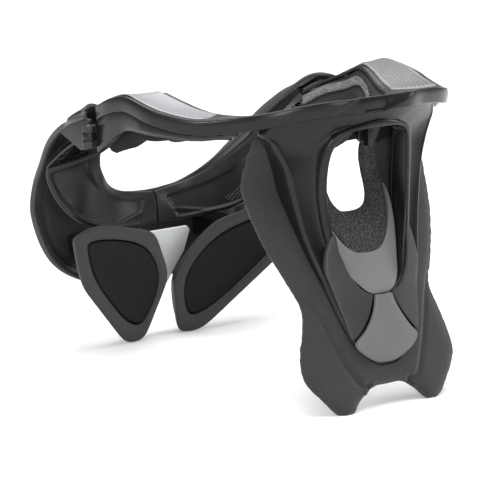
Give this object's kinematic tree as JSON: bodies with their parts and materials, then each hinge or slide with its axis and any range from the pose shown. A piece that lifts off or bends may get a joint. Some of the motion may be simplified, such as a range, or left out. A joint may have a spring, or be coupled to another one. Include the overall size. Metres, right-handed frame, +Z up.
{
  "type": "motocross neck brace",
  "caption": "Protective neck brace: a neck ring on a tall teardrop back strut with a winged back pad, and two hinged front arms with chest pads.",
  "frame": {"origin": "floor under the middle of the standing brace's bounding box", "axes": "+Z up, +Y to the wearer's back, +X to the wearer's left"},
  "size_m": [0.2828, 0.3306, 0.2459],
  "materials": {
    "satin_polymer": "satin",
    "grey_polymer": "satin",
    "silver_plate": "silver, ribbed",
    "liner_rubber": "matte",
    "insert_rubber": "matte",
    "woven_pad": "woven",
    "neck_foam": "speckled foam",
    "shoulder_foam": "matte foam",
    "white_plate": "satin",
    "shield_grey": "satin",
    "spine_grey": "satin",
    "panel_grey": "satin",
    "pin_steel": "brushed"
  },
  "bodies": {
    "frame": {"collar_shell": "satin_polymer", "shoulder_plate_left": "silver_plate", "shoulder_plate_right": "silver_plate", "side_shell_left": "satin_polymer", "side_shell_right": "satin_polymer", "ring_liner_left": "liner_rubber", "ring_liner_right": "liner_rubber", "shoulder_foam_left": "shoulder_foam", "shoulder_foam_right": "shoulder_foam", "back_strut": "satin_polymer", "shield": "shield_grey", "strut_panel_left": "panel_grey", "strut_panel_right": "panel_grey", "neck_foam": "neck_foam", "spine_plate": "spine_grey", "back_pad": "woven_pad", "hanger_post": "satin_polymer", "hanger_flap_left": "satin_polymer", "hanger_flap_right": "satin_polymer", "hinge_pin_left": "pin_steel", "hinge_pin_right": "pin_steel"},
    "left_arm": {"arm_liner_left": "liner_rubber", "arm_shell_left": "satin_polymer", "arm_lattice_left": "satin_polymer", "hinge_leaf_left": "grey_polymer", "arm_cap_left": "satin_polymer", "chest_pad_frame_left": "liner_rubber", "chest_pad_insert_left": "insert_rubber", "pad_stem_left": "satin_polymer", "latch_plate": "white_plate"},
    "right_arm": {"arm_liner_right": "liner_rubber", "arm_shell_right": "satin_polymer", "arm_lattice_right": "satin_polymer", "hinge_leaf_right": "grey_polymer", "arm_cap_right": "satin_polymer", "chest_pad_frame_right": "liner_rubber", "chest_pad_insert_right": "insert_rubber", "pad_stem_right": "satin_polymer"}
  },
  "joints": [
    {"name": "left_arm_hinge", "type": "hinge", "parent": "frame", "child": "left_arm", "pos_m": [0.136, -0.04814, 0.2], "axis": [0, 0, 1], "range_deg": [0, 70]},
    {"name": "right_arm_hinge", "type": "hinge", "parent": "frame", "child": "right_arm", "pos_m": [-0.136, -0.04814, 0.2], "axis": [0, 0, 1], "range_deg": [-70, 0]}
  ],
  "couplings": [
    {"joint": "right_arm_hinge", "follows": "left_arm_hinge", "ratio": -1}
  ]
}
